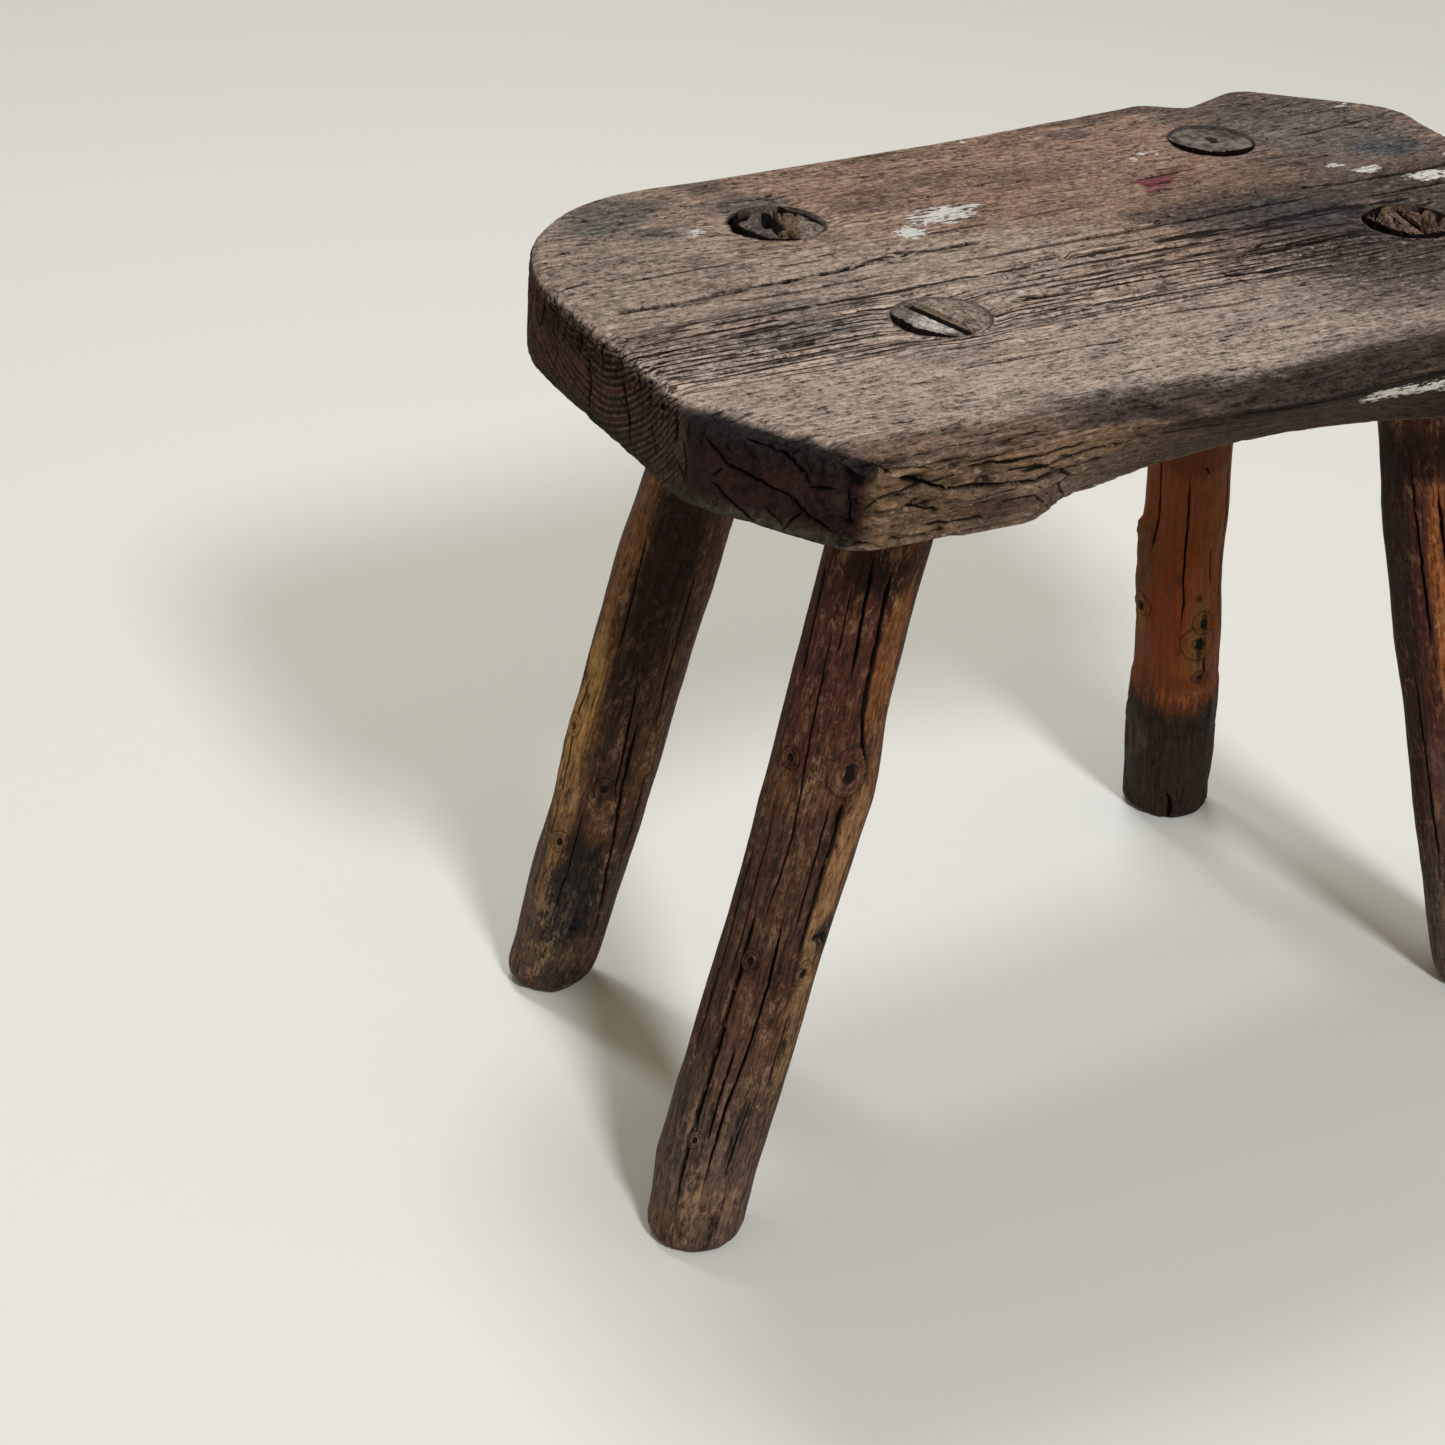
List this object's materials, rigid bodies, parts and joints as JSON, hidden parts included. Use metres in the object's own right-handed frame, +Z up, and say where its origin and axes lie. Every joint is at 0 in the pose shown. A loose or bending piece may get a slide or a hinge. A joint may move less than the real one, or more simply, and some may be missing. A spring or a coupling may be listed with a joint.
{
  "type": "milking stool",
  "caption": "Low rustic wooden stool: a thick weathered plank seat on splayed round legs whose tenons come through the top and are held by wedges.",
  "frame": {"origin": "on the floor, under the middle of the stool's overall box", "axes": "+X along the plank's grain towards the right end, +Y towards the back edge, +Z up"},
  "size_m": [0.3909, 0.248, 0.315],
  "materials": {
    "weathered_plank": "bare weathered softwood, grey-brown, with traces of old red paint on the end grain",
    "leg_wood": "old brown-stained round poles, worn smooth, scorched and dirty near the feet",
    "wedge_wood": "split dry wood, crumbly"
  },
  "bodies": {
    "root": {"seat_plank": "weathered_plank", "leg_front_left": "leg_wood", "leg_back_left": "leg_wood", "leg_back_right": "leg_wood", "leg_front_right": "leg_wood", "wedge_front_left": "wedge_wood", "wedge_back_left": "wedge_wood", "wedge_front_right": "wedge_wood"}
  },
  "joints": []
}
